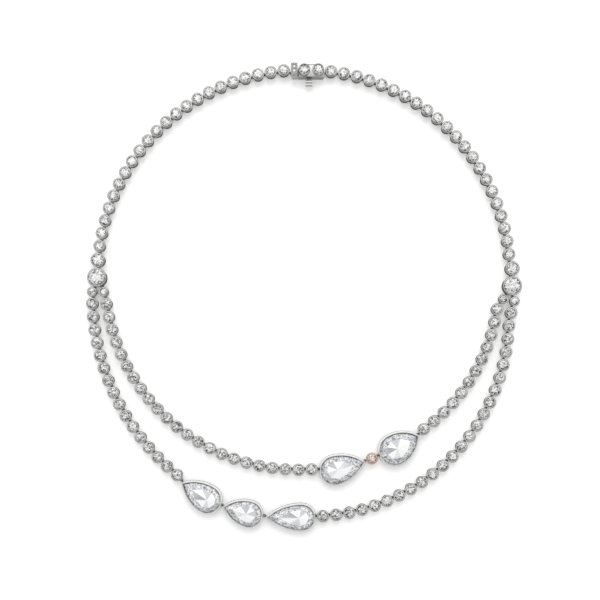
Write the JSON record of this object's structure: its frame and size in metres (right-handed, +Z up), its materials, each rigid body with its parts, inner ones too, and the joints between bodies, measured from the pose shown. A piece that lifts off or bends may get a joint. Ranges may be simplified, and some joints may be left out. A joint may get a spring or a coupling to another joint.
{
  "type": "diamond necklace",
  "caption": "Necklace lying flat as a closed loop: linked collet-set round stones, a lower half split into outer and inner strands with pear-shaped rose-cut stones, and a box clasp.",
  "frame": {"origin": "on the surface that the necklace lies on, under the middle of its plan", "axes": "+Z up from the surface, out of the stones' faces; +Y from the pear-set front to the clasp; +X to the right as the picture shows it"},
  "size_m": [0.1392, 0.1496, 0.0047],
  "materials": {
    "white_gold": "polished white gold",
    "rose_gold": "polished rose gold",
    "diamond": "cut and polished, colourless",
    "pink_diamond": "cut and polished, pale pink"
  },
  "bodies": {
    "necklace": {"clasp_box": "white_gold", "clasp_tongue": "white_gold", "clasp_stone_left": "diamond", "clasp_stone_right": "diamond", "tongue_stones": "diamond", "back_chain_left": "white_gold", "back_chain_right": "white_gold", "medium_setting_left": "white_gold", "medium_setting_right": "white_gold", "medium_stone_left": "diamond", "medium_stone_right": "diamond", "junction_setting_left": "white_gold", "junction_setting_right": "white_gold", "junction_stone_left": "diamond", "junction_stone_right": "diamond", "outer_strand_left": "white_gold", "outer_strand_right": "white_gold", "inner_strand_left": "white_gold", "inner_strand_right": "white_gold", "pear_setting_1": "white_gold", "pear_setting_2": "white_gold", "pear_setting_3": "white_gold", "pear_setting_4": "white_gold", "pear_setting_5": "white_gold", "pear_stone_1": "diamond", "pear_stone_2": "diamond", "pear_stone_3": "diamond", "pear_stone_4": "diamond", "pear_stone_5": "diamond", "pink_setting": "rose_gold", "pink_stone": "pink_diamond"},
    "lever": {"clasp_lever": "white_gold"}
  },
  "joints": [
    {"name": "lever_press", "type": "hinge", "parent": "necklace", "child": "lever", "pos_m": [0.00541, 0.0727, 0.0021], "axis": [0, -1, 0], "range_deg": [0, 5], "stiffness_Nm_per_rad": 0.1}
  ]
}
